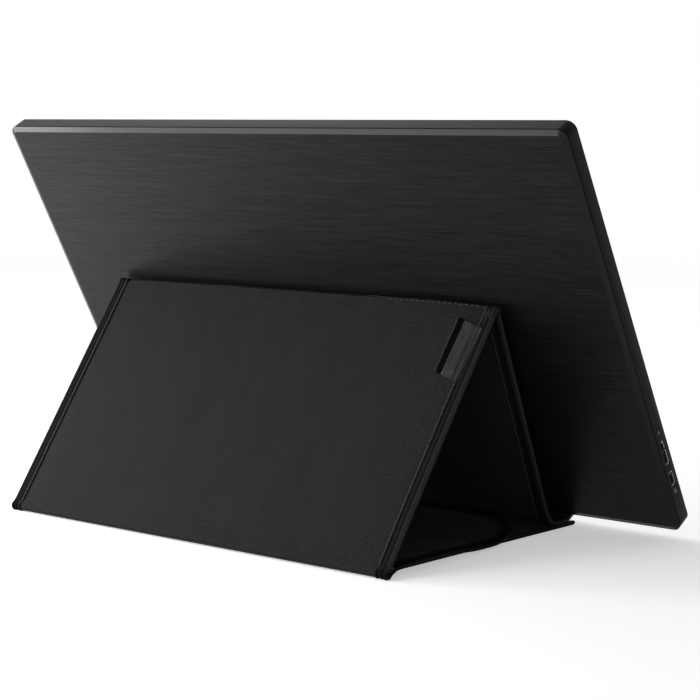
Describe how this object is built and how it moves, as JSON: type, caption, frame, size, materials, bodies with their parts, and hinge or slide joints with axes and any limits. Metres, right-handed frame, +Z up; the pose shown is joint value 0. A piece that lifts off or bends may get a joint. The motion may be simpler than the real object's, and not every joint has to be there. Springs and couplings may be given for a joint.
{
  "type": "portable monitor with cover",
  "caption": "Slim portable monitor leaning back in a ledge of its fabric cover, which folds into a triangular stand behind it.",
  "frame": {"origin": "middle of the whole outline, on the surface that the cover stands on", "axes": "+X runs along the monitor's width, towards its left edge as seen from behind; +Y points back, from the screen towards the stand; +Z is up"},
  "size_m": [0.382, 0.1696, 0.2184],
  "materials": {
    "woven_fabric": "fine woven nylon",
    "lining_cloth": "smooth dull cloth",
    "binding_tape": "folded tape with a fine leather grain",
    "panel_stiffener": "bare sheet",
    "magnet_steel": "plated",
    "label_leather": "smooth, slightly shiny",
    "bezel_plastic": "satin",
    "brushed_shell": "horizontal brushed lines, satin gloss",
    "screen_glass": "anti-glare panel, switched off",
    "foam_rubber": "closed-cell foam",
    "optical_plastic": "clear or white sheet",
    "led_board": "white strip with lamps",
    "panel_metal": "pressed sheet",
    "circuit_board": "green solder mask",
    "chip_plastic": "moulded",
    "bright_metal": "plated",
    "ribbon_film": "flat film cable",
    "button_plastic": "satin"
  },
  "bodies": {
    "base": {"base_fabric": "woven_fabric", "base_board": "panel_stiffener", "base_lining": "lining_cloth", "base_binding_left": "binding_tape", "base_binding_right": "binding_tape", "base_magnets": "magnet_steel", "tray_strip": "lining_cloth", "curl_fold": "lining_cloth"},
    "front_panel": {"front_panel_fabric": "woven_fabric", "front_panel_board": "panel_stiffener", "front_panel_lining": "lining_cloth", "front_binding_left": "binding_tape", "front_binding_right": "binding_tape", "ridge_fold": "lining_cloth"},
    "rear_panel": {"rear_panel_fabric": "woven_fabric", "rear_panel_board": "panel_stiffener", "rear_panel_lining": "lining_cloth", "rear_binding_left": "binding_tape", "rear_binding_right": "binding_tape", "label_tab": "label_leather", "hem_fold": "lining_cloth"},
    "rear_flap": {"flap_fabric": "woven_fabric", "flap_board": "panel_stiffener", "flap_lining": "lining_cloth", "flap_binding": "binding_tape", "flap_magnets": "magnet_steel"},
    "ledge": {"ledge_strip": "lining_cloth", "ledge_lip": "lining_cloth"},
    "monitor": {"front_bezel": "bezel_plastic", "rear_cover": "brushed_shell", "lcd_cell": "screen_glass", "screen_gasket": "foam_rubber", "optical_films": "optical_plastic", "light_guide": "optical_plastic", "reflector_sheet": "optical_plastic", "led_strip": "led_board", "panel_frame": "optical_plastic", "panel_tray": "panel_metal", "foam_pads": "foam_rubber", "driver_board": "circuit_board", "main_board": "circuit_board", "main_chips": "chip_plastic", "shield_can": "bright_metal", "flat_cable": "ribbon_film", "data_port_shell": "bright_metal", "data_port_tongue": "chip_plastic", "lock_slot_insert": "bright_metal", "button_board": "circuit_board", "tact_switches": "bright_metal", "board_screws": "bright_metal", "power_light_pipe": "optical_plastic"},
    "power_key": {"power_button": "button_plastic"},
    "brightness_key": {"brightness_button": "button_plastic"}
  },
  "joints": [
    {"name": "stand_fold", "type": "hinge", "parent": "base", "child": "front_panel", "pos_m": [0, -0.05568, 0.00539], "axis": [-1, 0, 0], "range_deg": [0, 63], "deforming": ["curl_fold"]},
    {"name": "ridge_hinge", "type": "hinge", "parent": "front_panel", "child": "rear_panel", "pos_m": [0, -0.00511, 0.12306], "axis": [1, 0, 0], "range_deg": [0, 115], "deforming": ["ridge_fold"]},
    {"name": "hem_hinge", "type": "hinge", "parent": "rear_panel", "child": "rear_flap", "pos_m": [0, 0.07753, 0.006], "axis": [-1, 0, 0], "range_deg": [0, 52], "deforming": ["hem_fold"]},
    {"name": "ledge_tilt", "type": "hinge", "parent": "base", "child": "ledge", "pos_m": [0, -0.07305, 0.0058], "axis": [-1, 0, 0], "range_deg": [0, 58]},
    {"name": "monitor_lift", "type": "slide", "parent": "ledge", "child": "monitor", "axis": [0, 0.4756, 0.8796], "range_m": [0, 0.012]},
    {"name": "power_press", "type": "slide", "parent": "monitor", "child": "power_key", "axis": [0, 0.8796, -0.4756], "range_m": [0, 0.0005], "stiffness_N_per_m": 800},
    {"name": "brightness_press", "type": "slide", "parent": "monitor", "child": "brightness_key", "axis": [0, 0.8796, -0.4756], "range_m": [0, 0.0005], "stiffness_N_per_m": 800}
  ],
  "couplings": [
    {"joint": "ridge_hinge", "follows": "stand_fold", "ratio": 1.81},
    {"joint": "hem_hinge", "follows": "stand_fold", "ratio": 0.81},
    {"joint": "ledge_tilt", "follows": "stand_fold", "ratio": 0.905}
  ]
}
